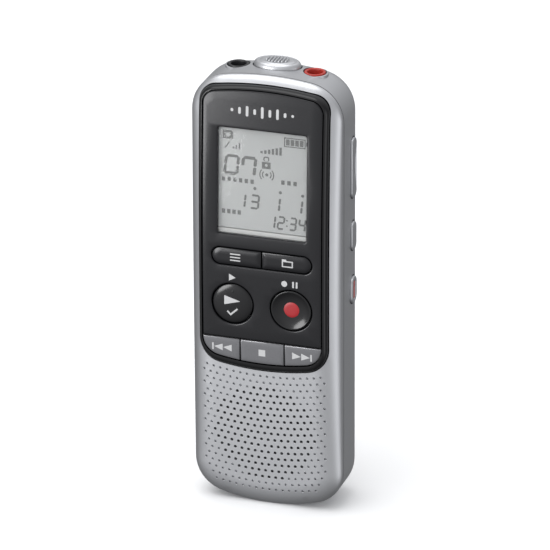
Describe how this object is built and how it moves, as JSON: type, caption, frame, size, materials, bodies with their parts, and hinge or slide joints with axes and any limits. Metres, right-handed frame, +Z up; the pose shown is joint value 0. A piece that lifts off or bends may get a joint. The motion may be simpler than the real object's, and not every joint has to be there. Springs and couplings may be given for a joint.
{
  "type": "pocket digital voice recorder",
  "caption": "Slim upright pocket recorder: silver shell, black framed key panel with grey display, speaker face below, jacks and microphone on top, side keys, rear battery cover.",
  "frame": {"origin": "middle of the foot, under the centre of the body", "axes": "+Z up the length, -Y out of the screen and keys, +X to the right of someone facing the screen"},
  "size_m": [0.039, 0.021, 0.1136],
  "materials": {
    "silver": "fine metallic silver paint, satin",
    "silver_dark": "fine metallic silver paint, satin, a shade darker",
    "black_gloss": "high gloss",
    "gunmetal": "satin dark grey metallic paint",
    "key_grey": "satin",
    "clear_window": "clear, polished",
    "lcd_grey": "grey reflective display with dark segments",
    "white_plastic": "moulded",
    "black_plastic": "moulded",
    "red_plastic": "moulded, semi-gloss",
    "rubber_grey": "matt",
    "board_green": "solder resist over copper tracks",
    "chip_black": "moulded",
    "plated_metal": "nickel plated",
    "cell_wrap": null,
    "cone_paper": "pressed paper"
  },
  "bodies": {
    "casing": {"front_shell": "silver", "rear_shell": "silver_dark", "case_screw_1": "plated_metal", "case_screw_2": "plated_metal", "case_screw_3": "plated_metal", "case_screw_4": "plated_metal", "bezel_frame": "black_gloss", "front_panel": "gunmetal", "display_window": "clear_window", "lcd_glass": "lcd_grey", "lcd_holder": "white_plastic", "lcd_connector": "rubber_grey", "keypad_membrane": "rubber_grey", "key_dome_sheet": "plated_metal", "hold_switch_body": "plated_metal", "side_switch_board": "board_green", "volume_switch": "plated_metal", "repeat_switch": "plated_metal", "erase_switch": "plated_metal", "battery_tray": "black_plastic", "battery_1": "cell_wrap", "battery_2": "cell_wrap", "positive_contact_1": "plated_metal", "positive_contact_2": "plated_metal", "negative_spring_1": "plated_metal", "negative_spring_2": "plated_metal", "speaker_gasket": "rubber_grey", "speaker_frame": "plated_metal", "speaker_magnet": "plated_metal", "speaker_cone": "cone_paper", "mic_grille": "silver", "mic_capsule": "plated_metal", "mic_boot": "rubber_grey", "headphone_jack": "black_plastic", "headphone_jack_ring": "black_plastic", "microphone_jack": "black_plastic", "microphone_jack_ring": "red_plastic", "main_board": "board_green", "processor_chip": "chip_black", "memory_chip": "chip_black", "audio_chip": "chip_black", "clock_crystal": "plated_metal"},
    "menu_key": {"menu_key": "key_grey"},
    "folder_key": {"folder_key": "key_grey"},
    "play_button": {"play_button": "black_gloss"},
    "record_button": {"record_button": "black_gloss"},
    "rewind_key": {"rewind_key": "key_grey"},
    "stop_key": {"stop_key": "key_grey"},
    "forward_key": {"forward_key": "key_grey"},
    "volume_rocker": {"volume_rocker": "silver_dark"},
    "repeat_button": {"repeat_button": "silver_dark"},
    "erase_button": {"erase_button": "silver", "erase_button_insert": "red_plastic"},
    "hold_slider": {"hold_slider": "silver_dark"},
    "battery_cover": {"battery_cover": "silver_dark"}
  },
  "joints": [
    {"name": "menu_key_press", "type": "slide", "parent": "casing", "child": "menu_key", "axis": [0, 1, 0], "range_m": [0, 0.0004], "stiffness_N_per_m": 200},
    {"name": "folder_key_press", "type": "slide", "parent": "casing", "child": "folder_key", "axis": [0, 1, 0], "range_m": [0, 0.0004], "stiffness_N_per_m": 200},
    {"name": "play_button_press", "type": "slide", "parent": "casing", "child": "play_button", "axis": [0, 1, 0], "range_m": [0, 0.0004], "stiffness_N_per_m": 200},
    {"name": "record_button_press", "type": "slide", "parent": "casing", "child": "record_button", "axis": [0, 1, 0], "range_m": [0, 0.0004], "stiffness_N_per_m": 200},
    {"name": "rewind_key_press", "type": "slide", "parent": "casing", "child": "rewind_key", "axis": [0, 1, 0], "range_m": [0, 0.0004], "stiffness_N_per_m": 200},
    {"name": "stop_key_press", "type": "slide", "parent": "casing", "child": "stop_key", "axis": [0, 1, 0], "range_m": [0, 0.0004], "stiffness_N_per_m": 200},
    {"name": "forward_key_press", "type": "slide", "parent": "casing", "child": "forward_key", "axis": [0, 1, 0], "range_m": [0, 0.0004], "stiffness_N_per_m": 200},
    {"name": "volume_rocker_tilt", "type": "hinge", "parent": "casing", "child": "volume_rocker", "pos_m": [0.0166, 0.0026, 0.08795], "axis": [0, 1, 0], "range_deg": [-3, 3], "stiffness_Nm_per_rad": 0.02},
    {"name": "repeat_button_press", "type": "slide", "parent": "casing", "child": "repeat_button", "axis": [-1, 0, 0], "range_m": [0, 0.00035], "stiffness_N_per_m": 200},
    {"name": "erase_button_press", "type": "slide", "parent": "casing", "child": "erase_button", "axis": [-1, 0, 0], "range_m": [0, 0.00035], "stiffness_N_per_m": 200},
    {"name": "hold_slide", "type": "slide", "parent": "casing", "child": "hold_slider", "axis": [0, 0, 1], "range_m": [-0.0015, 0.0015]},
    {"name": "battery_cover_slide", "type": "slide", "parent": "casing", "child": "battery_cover", "axis": [0, 0, -1], "range_m": [0, 0.005]}
  ]
}
